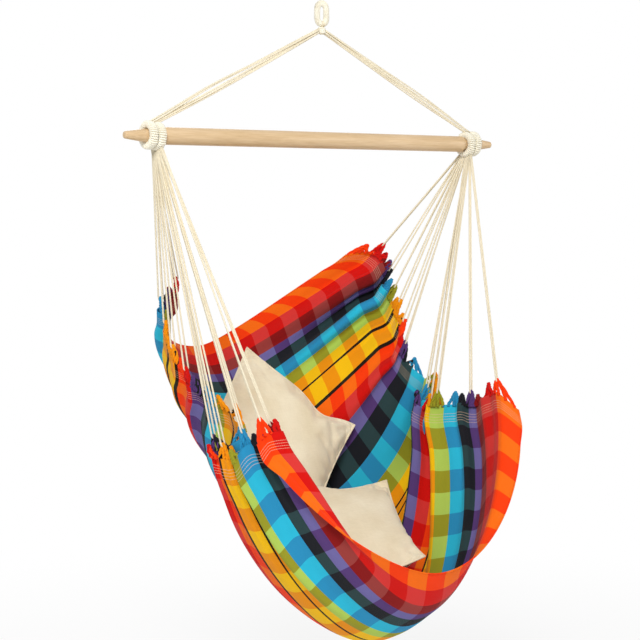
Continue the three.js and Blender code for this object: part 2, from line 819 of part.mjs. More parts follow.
// Two crowned faces that share their rim
function pillowSolid([upper, lower]) {
  const bare = slab(upper, lower);
  bare.deleteAttribute('normal');
  return mergeVertices(bare);
}

// How far a solid moves along a direction before it comes within the seat's clearance
function roomBetween(moving, rests, direction) {
  let room = 0;
  let step = Infinity;
  while (step > cushionSeat / 10) {
    const here = moving.translate(direction.clone().multiplyScalar(room).toArray());
    step = Math.min(...rests.map((rest) => here.minGap(rest, 2 * seatReach))) - cushionSeat;
    room += step;
  }
  return room;
}

const zipDepth = backCushionThickness;

function addCushion(name, cushion, rests, way) {
  const steps = cushionSteps;
  const flat = toManifold(pillowSolid(cushion.surfaces(0, cushion.thickness, steps)));
  const lifted = flat.translate(way.clone().multiplyScalar(cushionLift).toArray());
  const room = roomBetween(lifted, rests, way.clone().negate());
  const settle = way.clone().multiplyScalar(cushionLift - room);
  const outer = flat.translate(settle.toArray());
  const height = cushion.thickness - 2 * coverWall;
  const move = (geometry) => geometry.translate(...settle.toArray());
  const hollow = move(pillowSolid(cushion.surfaces(seamAllowance, height, steps - 2)));
  const fillingInset = seamAllowance + fillingPlay * 2;
  const filling = move(pillowSolid(cushion.surfaces(fillingInset, height - 2 * fillingPlay, steps - 2)));
  const shell = outer.subtract(toManifold(hollow));
  const zipBox = (shrink) => {
    const box = new THREE.BoxGeometry(
      zipLength - 2 * shrink,
      zipWidth - 2 * shrink,
      zipDepth,
    );
    const along = cushion.middle(1, 0).sub(cushion.middle(-1, 0)).normalize();
    const across = cushion.facing.clone().cross(along);
    const turn = new THREE.Matrix4().makeBasis(along, across, cushion.facing);
    turn.setPosition(
      cushion.middle(0, -0.6).add(settle).addScaledVector(cushion.facing, -zipDepth / 2),
    );
    return box.applyMatrix4(turn);
  };
  const slit = shell.subtract(toManifold(zipBox(0)));
  const zip = shell.intersect(toManifold(zipBox(gap)));
  addPiece(`${name}_cover`, fromManifold(slit), linen);
  addPiece(`${name}_filling`, filling, wadding);
  addPiece(`${name}_zip`, fromManifold(zip), zipTape);
  return outer;
}

const upward = new THREE.Vector3(0, 0, 1);
const alongBack = new THREE.Vector3(0, Math.sin(backCushionWay), Math.cos(backCushionWay));
const seatCushion = cushionMaker(seatCushionCornerShares, seatCushionSags, seatCushionThickness);
const cloth = toManifold(clothSolid);
const seatCushionSolid = addCushion('seat_cushion', seatCushion, [cloth], upward);
const backCushion = cushionMaker(backCushionCornerShares, backCushionSags, backCushionThickness);
addCushion('back_cushion', backCushion, [cloth, seatCushionSolid], alongBack);

export default chair;
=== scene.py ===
# Hammock chair, dressed for its portrait. Sizes are those of the part's source, in millimetres, and
# are turned into metres where a mesh is made. +Z is up, the bar lies along X, the sitter faces -Y.
from math import atan2, copysign, cos, exp, hypot, pi, radians, sin, sqrt
import bpy
import numpy as np
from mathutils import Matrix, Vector, noise
from mathutils.bvhtree import BVHTree


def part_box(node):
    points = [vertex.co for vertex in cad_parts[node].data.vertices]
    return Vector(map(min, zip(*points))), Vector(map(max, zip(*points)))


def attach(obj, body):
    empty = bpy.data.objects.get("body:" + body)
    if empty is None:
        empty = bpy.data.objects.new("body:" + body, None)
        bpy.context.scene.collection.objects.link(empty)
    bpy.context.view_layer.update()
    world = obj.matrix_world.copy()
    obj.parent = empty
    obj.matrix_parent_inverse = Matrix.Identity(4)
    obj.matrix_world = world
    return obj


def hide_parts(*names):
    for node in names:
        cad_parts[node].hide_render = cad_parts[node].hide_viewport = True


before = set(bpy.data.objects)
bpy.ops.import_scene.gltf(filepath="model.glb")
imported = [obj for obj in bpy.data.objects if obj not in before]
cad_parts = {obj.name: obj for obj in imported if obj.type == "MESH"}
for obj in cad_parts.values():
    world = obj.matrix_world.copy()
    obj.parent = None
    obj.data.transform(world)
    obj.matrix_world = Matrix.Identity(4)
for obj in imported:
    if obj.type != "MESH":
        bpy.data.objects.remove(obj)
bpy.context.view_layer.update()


def set_all(target, **values):
    for key, value in values.items():
        setattr(target, key, value)
    return target


def new_object(name, data):
    made = bpy.data.objects.new(name, data)
    bpy.context.scene.collection.objects.link(made)
    return made


# -------- sizes, as in the part's source
MM = 0.001
hook_to_bar = 319
gap = 0.3
bar_length, bar_diameter, neck_diameter, tip_diameter = 1100, 40, 30, 17
tip_round, shoulder_run, collar_span = 3, 6, 952
twine_diameter, collar_core_width, collar_core_depth = 3.6, 12, 11
collar_play, collar_spacing, winding_gap = 0.6, 1, 0.45
eye_opening_width, eye_opening_height, eye_rope_diameter, eye_twine_diameter = 12, 34, 9, 2.4
throat_rope_diameter, throat_length = 13, 17
cord_diameter, bridle_row_counts, fan_spread = 3.4, [3, 2], 42
cloth_width, seat_half_span, seat_reach, fan_top, fan_height = 1440, 400, 400, 250, 450
hang_turn = radians(80)
ridge_round_share, pleat_run_share, pleat_window_share = 0.22, 0.8, 0.104
hem_drop, hem_run_share, hem_blend_share = 22, 0.05, 0.1
loop_height, loop_width, fringe_diameter, heading_height, seam_gap = 35, 24, 6, 8, 0.55
facet_share = cos(pi / 6)
bar_z = -hook_to_bar

loop_shares = [
    [0.000, 0.69, 0.53, 0.03, 0.69, 0.58, 0.21], [0.021, 0.76, 0.47, 0.01, 0.71, 0.53, 0.18],
    [0.043, 0.83, 0.42, 0.02, 0.74, 0.48, 0.18], [0.076, 0.83, 0.36, 0.05, 0.79, 0.42, 0.20],
    [0.108, 0.87, 0.39, 0.11, 0.87, 0.35, 0.22], [0.153, 0.90, 0.43, 0.17, 0.83, 0.44, 0.24],
    [0.188, 0.83, 0.33, 0.21, 0.89, 0.41, 0.28], [0.222, 0.88, 0.36, 0.26, 0.88, 0.36, 0.33],
    [0.250, 0.87, 0.31, 0.31, 0.91, 0.32, 0.40], [0.281, 0.85, 0.27, 0.34, 0.92, 0.28, 0.47],
    [0.309, 0.85, 0.23, 0.39, 0.92, 0.23, 0.52], [0.337, 0.82, 0.19, 0.45, 0.89, 0.19, 0.58],
    [0.361, 0.78, 0.16, 0.52, 0.90, 0.12, 0.63], [0.389, 0.80, 0.16, 0.57, 0.89, 0.06, 0.66],
    [0.424, 0.86, 0.13, 0.65, 0.87, -0.04, 0.72], [0.472, 1.00, 0.10, 0.76, 0.89, -0.19, 0.73],
    [0.514, 0.95, 0.03, 0.79, 0.89, -0.37, 0.78], [0.559, 0.89, 0.05, 0.82, 0.95, -0.49, 0.85],
    [0.604, 0.81, 0.05, 0.84, 0.97, -0.27, 0.94], [0.646, 0.88, 0.00, 0.88, 1.00, -0.26, 0.96],
    [0.698, 0.93, -0.04, 0.88, 0.98, -0.38, 0.97], [0.750, 0.83, -0.05, 0.84, 0.97, -0.44, 0.96],
    [0.781, 0.85, -0.10, 0.84, 1.00, -0.48, 0.97], [0.809, 0.91, -0.20, 0.83, 0.96, -0.54, 0.89],
    [0.844, 0.92, -0.25, 0.82, 0.93, -0.59, 0.88], [0.875, 0.95, -0.30, 0.83, 0.91, -0.63, 0.87],
    [0.903, 0.96, -0.35, 0.82, 0.86, -0.67, 0.85], [0.938, 0.93, -0.48, 0.76, 0.86, -0.70, 0.82],
    [0.972, 0.90, -0.59, 0.74, 0.95, -0.69, 0.82], [1.000, 0.97, -0.68, 0.83, 0.98, -0.67, 0.87],
]
middle_shares = [
    [0.000, -0.12, 1.20, 0.62],
    [0.076, -0.12, 1.05, 0.72],
    [0.174, -0.11, 0.84, 0.87],
    [0.267, -0.08, 0.66, 1.03],
    [0.319, -0.05, 0.58, 1.14],
    [0.389, 0.00, 0.41, 1.38],
    [0.458, 0.00, 0.21, 1.64],
    [0.528, 0.00, 0.00, 1.88],
    [0.611, 0.00, -0.25, 2.03],
    [0.694, 0.00, -0.48, 2.08],
    [0.764, 0.00, -0.68, 2.02],
    [0.833, 0.00, -0.84, 1.93],
    [0.917, 0.00, -1.00, 1.81],
    [1.000, 0.00, -1.12, 1.62],
]
corded = {
    1: [2, 5, 7, 9, 11, 13, 15, 17, 19, 22, 25, 28],
    -1: [2, 6, 8, 10, 12, 14, 16, 18, 20, 23, 26, 28],
}
cushion_corner_shares = {
    "back": [
        [-0.065, 0.71, 0.587], [0.475, 0.28, 1.027], [-0.075, -0.01, 1.527], [-0.625, 0.40, 1.067],
    ],
    "seat": [[0.41, -0.13, 1.30], [0.10, -0.86, 1.58], [-0.71, -0.56, 1.52], [-0.39, 0.12, 1.13]],
}

# -------- camera, placed as the photo's was
image_size = 640
camera_yaw = radians(37.2)
camera_pitch = radians(3.95)
camera_distance, camera_height = 4.12, -0.150
camera_focal_pixels, camera_centre_pixel = 1700, 321.7
ahead = Vector((
    sin(camera_yaw) * cos(camera_pitch),
    cos(camera_yaw) * cos(camera_pitch),
    -sin(camera_pitch),
))
camera_data = bpy.data.cameras.new("camera")
camera_data.sensor_width = 36
camera_data.lens = camera_focal_pixels / image_size * camera_data.sensor_width
camera_data.shift_x = -(camera_centre_pixel - image_size / 2) / image_size
camera = new_object("camera", camera_data)
camera.location = (
    -camera_distance * sin(camera_yaw),
    -camera_distance * cos(camera_yaw),
    camera_height + bar_z * MM,
)
camera.rotation_euler = ahead.to_track_quat("-Z", "Y").to_euler()
bpy.context.scene.camera = camera


# -------- node helpers
def srgb(red, green, blue):
    def linear(value):
        value /= 255
        return value / 12.92 if value <= 0.04045 else ((value + 0.055) / 1.055) ** 2.4
    return (linear(red), linear(green), linear(blue), 1)


class Nodes:
    """A node tree, and short calls that add nodes to it."""

    def __init__(self, tree):
        self.tree = tree

    def node(self, kind, **settings):
        return set_all(self.tree.nodes.new(kind), **settings)

    def fill(self, made, values, output=0):
        """Put values and links into a node's sockets, and give one of its outputs."""
        for key, value in values.items():
            if isinstance(value, (int, float, tuple)):
                made.inputs[key].default_value = value
            elif value is not None:
                self.tree.links.new(value, made.inputs[key])
        return made.outputs[output]

    def math(self, operation, first, second=0.0, third=0.0):
        made = self.node("ShaderNodeMath", operation=operation)
        return self.fill(made, {0: first, 1: second, 2: third})

    def show_apart(self, lit, shown, output, fade=None):
        """Show one shader to the camera, in gloss and through glass, and light by the other."""
        rays = self.node("ShaderNodeLightPath").outputs
        share = rays["Is Camera Ray"]
        for ray in ("Is Glossy Ray", "Is Transmission Ray"):
            share = self.math("MAXIMUM", share, rays[ray])
        if fade is not None:
            share = self.math("MULTIPLY", share, fade)
        blend = self.node("ShaderNodeMixShader")
        surface = self.fill(blend, {0: share, 1: lit.outputs[0], 2: shown.outputs[0]})
        self.tree.links.new(surface, self.tree.nodes[output].inputs["Surface"])


class Shade(Nodes):
    """A material with a Principled shader."""

    def __init__(self, name, **values):
        self.material = bpy.data.materials.new(name)
        self.material.use_nodes = True
        super().__init__(self.material.node_tree)
        self.bsdf = self.tree.nodes["Principled BSDF"]
        self.fill(self.bsdf, {key.replace("_", " "): value for key, value in values.items()})

    def mix(self, factor, first, second, blend="MIX"):
        made = self.node("ShaderNodeMix", data_type="RGBA", blend_type=blend)
        return self.fill(made, {"Factor": factor, 6: first, 7: second}, 2)

    def uv(self):
        made = self.node("ShaderNodeUVMap", uv_map="UVMap")
        split = self.node("ShaderNodeSeparateXYZ")
        self.fill(split, {0: made.outputs[0]})
        return split.outputs[0], split.outputs[1]

    def place(self, scale=(1, 1, 1)):
        made = self.node("ShaderNodeTexCoord")
        mapping = self.node("ShaderNodeMapping")
        return self.fill(mapping, {"Scale": scale, 0: made.outputs["Object"]})

    def noise(self, scale, detail=3, roughness=0.5, stretch=(1, 1, 1)):
        return self.fill(self.node("ShaderNodeTexNoise"), {
            "Vector": self.place(stretch), "Scale": scale, "Detail": detail,
            "Roughness": roughness,
        })

    def ramp(self, factor, stops, constant=False):
        made = self.node("ShaderNodeValToRGB")
        made.color_ramp.interpolation = "CONSTANT" if constant else "LINEAR"
        elements = made.color_ramp.elements
        while len(elements) < len(stops):
            elements.new(1)
        for element, stop in zip(elements, stops):
            element.position, element.color = stop
        return self.fill(made, {0: factor})

    def toned(self, colour, factor, share, low, high, dim):
        """The colour, darkened toward dim where a share is low."""
        tint = self.ramp(share, [(low, dim + (1,)), (high, (1, 1, 1, 1))])
        return self.mix(factor, colour, tint, "MULTIPLY")

    def bump(self, height, distance, strength):
        return self.fill(self.node("ShaderNodeBump"), {
            "Strength": strength, "Distance": distance, "Height": height,
        })

    def finish(self, colour, normal, roughness=None):
        self.fill(self.bsdf, {"Base Color": colour, "Normal": normal, "Roughness": roughness})
        return self.material


# -------- materials
def wave_of(shade, value, period):
    """A wave from 0 to 1 along a length."""
    turned = shade.math("SINE", shade.math("MULTIPLY", value, 2 * pi / period))
    return shade.math("MULTIPLY_ADD", turned, 0.5, 0.5)


def rope_material(name, pale, shadow, strands, lay, relief_share):
    shade = Shade(name, Roughness=0.85, Sheen_Weight=0.15)
    around, along = shade.uv()
    turned = shade.math("MULTIPLY_ADD", along, 1 / lay, shade.math("MULTIPLY", around, strands))
    strand = shade.math("PINGPONG", turned, 0.5)
    height = shade.math("POWER", shade.math("MULTIPLY", strand, 2), 0.5)
    fibre = shade.noise(900, 2)
    patch = shade.noise(25, 2)
    colour = shade.mix(height, shadow, pale)
    colour = shade.toned(colour, 0.8, patch, 0.3, 0.7, (0.93, 0.92, 0.88))
    relief = shade.math("MULTIPLY_ADD", fibre, 0.25, height)
    return shade.finish(colour, shade.bump(relief, 0.0003, relief_share))


def wood_material():
    shade = Shade("beech", Roughness=0.5, Coat_Weight=0.08)
    grain = shade.noise(9, 6, 0.6, stretch=(0.6, 9, 9))
    figure = shade.noise(14, 4, 0.55, stretch=(1.2, 30, 30))
    pores = shade.noise(1, 2, stretch=(25, 900, 900))
    colour = shade.ramp(grain, [
        (0.25, srgb(200, 168, 124)),
        (0.5, srgb(214, 184, 142)),
        (0.75, srgb(224, 196, 158)),
    ])
    colour = shade.toned(colour, 0.7, figure, 0.35, 0.6, (0.86, 0.82, 0.76))
    colour = shade.toned(colour, 0.45, pores, 0.3, 0.42, (0.80, 0.74, 0.66))
    rough = shade.math("MULTIPLY_ADD", figure, 0.2, 0.38)
    return shade.finish(colour, shade.bump(pores, 0.0002, 0.3), rough)


# Warp stripes from the cloth's edge to its middle: width in millimetres, then the colour where it
# crosses a red weft band and where it crosses a green one
orange = (254, 62, 2), (255, 112, 14)
red = (216, 14, 6), (222, 56, 52)
maroon = (140, 18, 18), (158, 62, 58)
purple = (88, 60, 120), (114, 106, 166)
dark = (26, 28, 34), (44, 68, 70)
turquoise = (42, 146, 194), (44, 190, 222)
lime = (158, 156, 38), (182, 212, 92)
amber = (246, 152, 6), (254, 198, 10)
black = (26, 22, 14), (34, 36, 24)
stripes = [
    (56, orange), (56, red), (44, maroon), (38, purple), (52, dark), (52, turquoise), (40, lime),
    (43, amber), (9, black), (64, amber), (9, black), (33, orange), (40, red), (34, purple),
    (36, dark), (38, turquoise), (30, lime), (30, amber), (5, black), (11, amber),
]
band_count = 22
# The mean length of the modelled rows between the headings
cloth_run = 1135
stitch_first, stitch_pitch, stitch_middle, stitch_half_band, stitch_dash = 20, 6, 32, 12, 4
stitch_thread_share, stitch_dash_share = 0.22, 0.8
thread_pitch = 1.2


def cloth_material():
    shade = Shade("checked_cotton", Roughness=0.88, Sheen_Weight=0.05, Specular_IOR_Level=0.15)
    calc = shade.math
    run, width = shade.uv()
    width_mm = calc("MULTIPLY", width, cloth_width)
    run_mm = calc("MULTIPLY", run, cloth_run)
    folded = calc("PINGPONG", width, 0.5)
    spread = calc("MULTIPLY", folded, 2)
    starts = np.cumsum([0] + [size for size, _ in stripes[:-1]]) / (cloth_width / 2)
    warm, cool = (
        shade.ramp(
            spread,
            [(place, srgb(*tones[kind])) for place, (_, tones) in zip(starts, stripes)],
            constant=True,
        ) for kind in (0, 1)
    )
    band = calc("FRACT", calc("MULTIPLY", run, band_count / 2))
    is_cool = calc("GREATER_THAN", band, 0.5)
    colour = shade.mix(is_cool, warm, cool)
    patch = shade.noise(9, 3)
    colour = shade.toned(colour, 0.7, patch, 0.3, 0.7, (0.94, 0.94, 0.94))
    # Four rows of pale stitching along each heading
    near_end = calc("MINIMUM", run_mm, calc("SUBTRACT", cloth_run, run_mm))
    past_first = calc("SUBTRACT", near_end, stitch_first)
    rows = calc("FRACT", calc("DIVIDE", past_first, stitch_pitch))
    in_row = calc("LESS_THAN", rows, stitch_thread_share)
    from_middle = calc("ABSOLUTE", calc("SUBTRACT", near_end, stitch_middle))
    inside = calc("LESS_THAN", from_middle, stitch_half_band)
    dashes = calc("FRACT", calc("DIVIDE", width_mm, stitch_dash))
    dash = calc("LESS_THAN", dashes, stitch_dash_share)
    stitch = calc("MULTIPLY", calc("MULTIPLY", in_row, inside), dash)
    pale = shade.mix(0.55, colour, srgb(235, 200, 170))
    colour = shade.mix(stitch, colour, pale)
    # Plain weave: threads both ways, floating over each other in turn
    warp = wave_of(shade, width_mm, thread_pitch)
    weft = wave_of(shade, run_mm, thread_pitch)
    weave = calc("ABSOLUTE", calc("SUBTRACT", warp, weft))
    # The colour, darkened toward black along the weave: painted shade between the threads
    weave_shaded = shade.mix(calc("MULTIPLY", weave, 0.14), colour, (0.0, 0.0, 0.0, 1))
    relief = calc("MULTIPLY_ADD", stitch, 1.5, weave)
    return shade.finish(weave_shaded, shade.bump(relief, 0.0003, 0.5))


def linen_material():
    shade = Shade("linen", Roughness=0.92, Sheen_Weight=0.25)
    slub = shade.noise(1, 2, stretch=(60, 60, 700))
    cross = shade.noise(1, 2, stretch=(700, 60, 60))
    patch = shade.noise(10, 4)
    colour = shade.ramp(patch, [(0.3, srgb(226, 211, 178)), (0.7, srgb(240, 229, 202))])
    threads = shade.math("MULTIPLY", shade.math("ADD", slub, cross), 0.5)
    colour = shade.toned(colour, 0.6, threads, 0.35, 0.6, (0.90, 0.89, 0.86))
    return shade.finish(colour, shade.bump(threads, 0.0004, 0.35))


def plain_material(name, colour, roughness, scale):
    shade = Shade(name, Roughness=roughness)
    fine = shade.noise(scale, 3)
    dim = tuple(channel * 0.86 for channel in colour[:3]) + (1,)
    made = shade.ramp(fine, [(0.35, dim), (0.65, colour)])
    return shade.finish(made, shade.bump(fine, 0.0004, 0.4))


looks = {
    "cotton_cord": rope_material(
        "cotton_cord", srgb(240, 230, 206), srgb(224, 212, 182), 3, 0.011, 0.12,
    ),
    "twine": rope_material("twine", srgb(250, 246, 232), srgb(234, 226, 202), 2, 0.006, 0.3),
    "beech": wood_material(),
    "checked_cotton": cloth_material(),
    "linen": linen_material(),
    "wadding": plain_material("wadding", srgb(247, 245, 239), 1.0, 120),
    "zip_tape": plain_material("zip_tape", srgb(226, 214, 184), 0.85, 700),
}
looks["fringe_cotton"] = looks["checked_cotton"]


# -------- mesh helpers, in millimetres
def mesh_object(name, points, faces):
    mesh = bpy.data.meshes.new(name)
    mesh.from_pydata([tuple(float(c) * MM for c in point) for point in points], [], faces)
    return new_object(name, mesh)


def add_mesh(name, made, body, slot, *replaced):
    """A piece made of points, faces and, where its look needs them, UVs."""
    points, faces, *uvs = made
    piece = mesh_object(name, points, faces)
    mesh = piece.data
    mesh.validate()
    if uvs:
        layer = mesh.uv_layers.new(name="UVMap")
        for loop in mesh.loops:
            layer.data[loop.index].uv = uvs[0][loop.vertex_index]
    mesh.polygons.foreach_set("use_smooth", [True] * len(mesh.polygons))
    mesh.materials.append(looks[slot])
    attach(piece, body)
    if replaced:
        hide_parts(*replaced)
    return piece


def unit(vector):
    return vector / max(np.linalg.norm(vector), 1e-9)


def quads(rings, width, closed=False):
    """The faces between rings of so many points each."""
    faces = []
    for ring in range(rings if closed else rings - 1):
        a, b = ring * width, (ring + 1) % rings * width
        faces += [(a + i, a + i + 1, b + i + 1, b + i) for i in range(width - 1)]
    return faces


def frames_along(points, closed=False, normal=None):
    """Each point of a path, with two directions square to the path that turn with it."""
    count = len(points)
    for i, point in enumerate(points):
        before = points[(i - 1) % count if closed else max(i - 1, 0)]
        after = points[(i + 1) % count if closed else min(i + 1, count - 1)]
        tangent = unit(after - before)
        if normal is None:
            normal = np.array([0.0, 1, 0]) if abs(tangent[1]) < 0.9 else np.array([1.0, 0, 0])
        normal = unit(normal - tangent * np.dot(normal, tangent))
        yield point, normal, np.cross(tangent, normal)


def tube(points, radius, sides, closed=False, first_normal=None):
    """Points, faces and UVs (turns round, metres along) of a tube along a path."""
    points = [np.asarray(p, float) for p in points]
    verts, uvs, length = [], [], 0.0
    for i, (point, normal, across) in enumerate(frames_along(points, closed, first_normal)):
        if i:
            length += np.linalg.norm(point - points[i - 1])
        for side in range(sides + 1):
            angle = 2 * pi * side / sides
            verts.append(point + radius * (normal * cos(angle) + across * sin(angle)))
            uvs.append((side / sides, length * MM))
    faces = quads(len(points), sides + 1, closed)
    if not closed:
        for start, order in ((0, -1), (len(verts) - sides - 1, 1)):
            faces.append(tuple(range(start, start + sides))[::order])
    return verts, faces, uvs


def wound(turns, steps_each, radius, sides, place):
    """A tube wound round and round; place makes a point of a share of the way and an angle."""
    steps = turns * steps_each
    points = [place(step / steps, 2 * pi * step / steps_each) for step in range(steps + 1)]
    return tube(points, radius, sides)


def join(parts):
    verts, faces, uvs = [], [], []
    for part_verts, part_faces, part_uvs in parts:
        shift = len(verts)
        verts += part_verts
        uvs += part_uvs
        faces += [tuple(corner + shift for corner in face) for face in part_faces]
    return verts, faces, uvs


def lathe(profile, sides, place):
    """A profile of (radius, along), turned about an axis.

    place makes a point of an angle, a radius and a place along the axis.
    """
    verts, uvs, length = [], [], 0.0
    for i, (radius, along) in enumerate(profile):
        if i:
            length += hypot(radius - profile[i - 1][0], along - profile[i - 1][1])
        for side in range(sides + 1):
            verts.append(place(2 * pi * side / sides, max(radius, 0.01), along))
            uvs.append((side / sides, length * MM))
    return verts, quads(len(profile), sides + 1), uvs


def smooth_step(value):
    value = np.clip(value, 0, 1)
    return value * value * (3 - 2 * value)


def curve_through(shares, points):
    shares = np.asarray(shares, float)
    points = np.asarray(points, float)
    last = len(shares) - 1
    before = np.maximum(np.arange(last + 1) - 1, 0)
    after = np.minimum(np.arange(last + 1) + 1, last)
    slopes = (points[after] - points[before]) / (shares[after] - shares[before])[:, None]

    def at(share):
        share = np.atleast_1d(np.asarray(share, float))
        i = np.clip(np.searchsorted(shares, share) - 1, 0, last - 1)
        run = (shares[i + 1] - shares[i])[:, None]
        t = (share - shares[i])[:, None] / run
        return (
            points[i] * (2 * t**3 - 3 * t**2 + 1) + slopes[i] * run * (t**3 - 2 * t**2 + t)
            + points[i + 1] * (3 * t**2 - 2 * t**3) + slopes[i + 1] * run * (t**3 - t**2)
        )
    return at


# -------- spreader bar
twine_radius = twine_diameter / 2
winding_reach = (twine_radius + winding_gap) / facet_share
winding_half_depth = collar_core_depth / 2 + winding_reach
winding_half_width = collar_core_width / 2 + winding_reach
collar_width = 2 * (winding_half_width + twine_radius)
collar_radius = neck_diameter / 2 + collar_play + twine_radius + winding_half_depth
collar_outside = collar_radius + winding_half_depth + twine_radius
collar_step = (collar_width + collar_spacing) / 2
seat_collar_x = collar_span / 2 - collar_step
bridle_collar_x = collar_span / 2 + collar_step


def bar_profile():
    inner = seat_collar_x - collar_width / 2 - collar_spacing
    outer = bridle_collar_x + collar_width / 2 + collar_spacing
    full, neck, tip = bar_diameter / 2, neck_diameter / 2, tip_diameter / 2
    half, taper_end = bar_length / 2, bar_length / 2 - tip_round
    right = [(full, x) for x in np.linspace(0, inner - shoulder_run, 40)]
    right += [
        (full + (neck - full) * smooth_step(share), inner - shoulder_run * (1 - share))
        for share in np.linspace(0.125, 1, 8)
    ]
    right += [(neck, x) for x in np.linspace(inner + 2, outer, 12)]
    right += [
        (neck + (tip - neck) * share, outer + (taper_end - outer) * share)
        for share in np.linspace(0.06, 1, 14)
    ]
    right += [
        (tip - tip_round * (1 - cos(angle)), taper_end + tip_round * sin(angle))
        for angle in np.linspace(pi / 14, pi / 2, 7)
    ]
    right += [(tip / 2, half), (0, half)]
    return [(radius, -along) for radius, along in right[:0:-1]] + right


bar_turned = lathe(
    bar_profile(), 64,
    lambda angle, radius, along: (along, radius * sin(angle), bar_z + radius * cos(angle)),
)
add_mesh("bar_turned", bar_turned[:2], "bar", "beech", "spreader_bar")

# -------- collars, eye and throat
collar_turns, collar_turn_share = 34, 0.985
turn_steps = 16
sleeve_inside, sleeve_outside, sleeve_half_width = neck_diameter / 2 + 0.9, 32, 9.2
sleeve_twine, sleeve_sag = 2.35, 1.2
core_inset, winding_inset, inset_depth = 2.4, 1.6, 8


def collar_point(kind, x, angle, round_angle, inset):
    """A point of a sleeve: a rounded rectangle led round the bar, pulled a little by its cords."""
    out, along = cos(angle), sin(angle)
    square = (abs(out) ** 4 + abs(along) ** 4) ** -0.25
    middle = (sleeve_inside + sleeve_outside) / 2
    radius = middle + (sleeve_outside - middle) * out * square * (1 - inset / inset_depth)
    lean = (sleeve_sag if kind == "bridle" else -sleeve_sag) * (0.5 + 0.5 * abs(cos(round_angle)))
    return (
        x + (sleeve_half_width - inset) * along * square,
        radius * sin(round_angle),
        bar_z - radius * cos(round_angle) + lean,
    )


def collar_ring(kind, x, sides=16, rings=72):
    verts, uvs, faces = [], [], []
    for ring in range(rings):
        here, after = ring * sides, (ring + 1) % rings * sides
        for side in range(sides):
            angle, round_angle = 2 * pi * side / sides, 2 * pi * ring / rings
            other = (side + 1) % sides
            verts.append(collar_point(kind, x, angle, round_angle, core_inset))
            uvs.append((side / sides, ring / rings * 0.15))
            faces.append((here + side, here + other, after + other, after + side))
    return verts, faces, uvs


def collar_winding(kind, x):
    def place(share, angle):
        round_angle = ((1 - collar_turn_share) + 2 * collar_turn_share * share) * pi
        wander = 0.4 * sin(7.3 * share * 6.28) + 0.35 * sin(17.7 * share * 6.28)
        return collar_point(kind, x, angle, round_angle, winding_inset - wander * 0.4)
    return wound(collar_turns, turn_steps, sleeve_twine, 7, place)


side_signs = (("left", -1), ("right", 1))
for side, sign in side_signs:
    for kind, x in (("bridle", bridle_collar_x), ("seat", seat_collar_x)):
        name = f"{kind}_collar_{side}"
        core = collar_ring(kind, sign * x)
        add_mesh(f"{name}_core_rope", core, kind, "cotton_cord", f"{name}_rope")
        winding = collar_winding(kind, sign * x)
        add_mesh(f"{name}_wound_twine", winding, kind, "twine", f"{name}_whipping")

eye_twine_radius = eye_twine_diameter / 2
eye_reach = eye_rope_diameter / 2 + (eye_twine_radius + winding_gap) / facet_share
eye_limb = eye_reach + eye_twine_radius
eye_bend = eye_opening_width / 2 + eye_limb
eye_run = eye_opening_height - eye_opening_width
eye_length = 2 * (eye_run + pi * eye_bend)
eye_wound_share, eye_wound_inset, eye_wound_stretch = 0.93, 0.35, 1.14


def eye_place(share):
    """A place on the eye's middle line: up one limb, over the top and down the other."""
    along = (share % 1) * eye_length
    folded = min(along, eye_length - along) - pi * eye_bend / 2
    rise = min(max(folded, 0), eye_run)
    angle = (folded - rise) / eye_bend
    sign = 1 if along <= eye_length / 2 else -1
    return np.array((
        sign * eye_bend * cos(angle), 0,
        rise - eye_run - eye_opening_width / 2 + eye_bend * sin(angle),
    ))


def eye_turn(share, angle):
    """A place of the eye's twine, which leaves the eye's foot bare."""
    place_share = ((1 - eye_wound_share) + 2 * eye_wound_share * share) / 2
    before, after = (eye_place(place_share + step) for step in (-0.002, 0.002))
    tangent = unit(after - before)
    reach = eye_reach - eye_wound_inset
    sideways = np.array((tangent[2], 0, -tangent[0]))
    place = eye_place(place_share) + sideways * reach * eye_wound_stretch * cos(angle)
    place[1] = reach * sin(angle)
    return place


eye_rope = tube(
    [eye_place(i / 96) for i in range(96)], eye_rope_diameter / 2 + 1.3, 16, closed=True,
    first_normal=(0, 1, 0),
)
add_mesh("eye_rope", eye_rope, "eye", "cotton_cord", "hanging_eye_rope")
eye_winding = wound(50, 14, eye_twine_radius * 0.95, 8, eye_turn)
add_mesh("eye_wound_twine", eye_winding, "eye", "twine", "hanging_eye_whipping")

eye_foot = -eye_opening_height - eye_limb - eye_rope_diameter / 2
throat_radius = throat_rope_diameter / 2
throat_pivot_z = eye_foot - gap - throat_radius
throat_foot = throat_pivot_z - throat_length


def throat_profile():
    low = throat_foot + 6
    profile = [(0, low - 3), (throat_radius * 0.6, low - 2.6)]
    profile += [(throat_radius * 0.92, low - 0.5), (throat_radius, low + 2)]
    for step in range(9):
        angle = pi / 2 * step / 8
        profile.append((
            throat_radius * cos(angle), throat_pivot_z + throat_radius * sin(angle),
        ))
    return profile


throat_rope = lathe(
    throat_profile(), 24,
    lambda angle, radius, along: (radius * cos(angle), radius * sin(angle), along),
)
add_mesh("throat_gathered_cords", throat_rope, "throat", "cotton_cord", "throat_rope")
throat_turns, throat_pitch = 4, 3.3
coil_reach = throat_radius + twine_radius * 0.6
throat_winding = wound(
    throat_turns, 24, twine_radius, 10,
    lambda share, angle: (
        coil_reach * cos(angle), coil_reach * sin(angle),
        throat_pivot_z + 3.5 - throat_pitch * throat_turns * share,
    ),
)
add_mesh("throat_wound_twine", throat_winding, "throat", "twine", "throat_binding")

# -------- bridle cords
cord_radius, cord_fuzz = cord_diameter / 2, 0.35


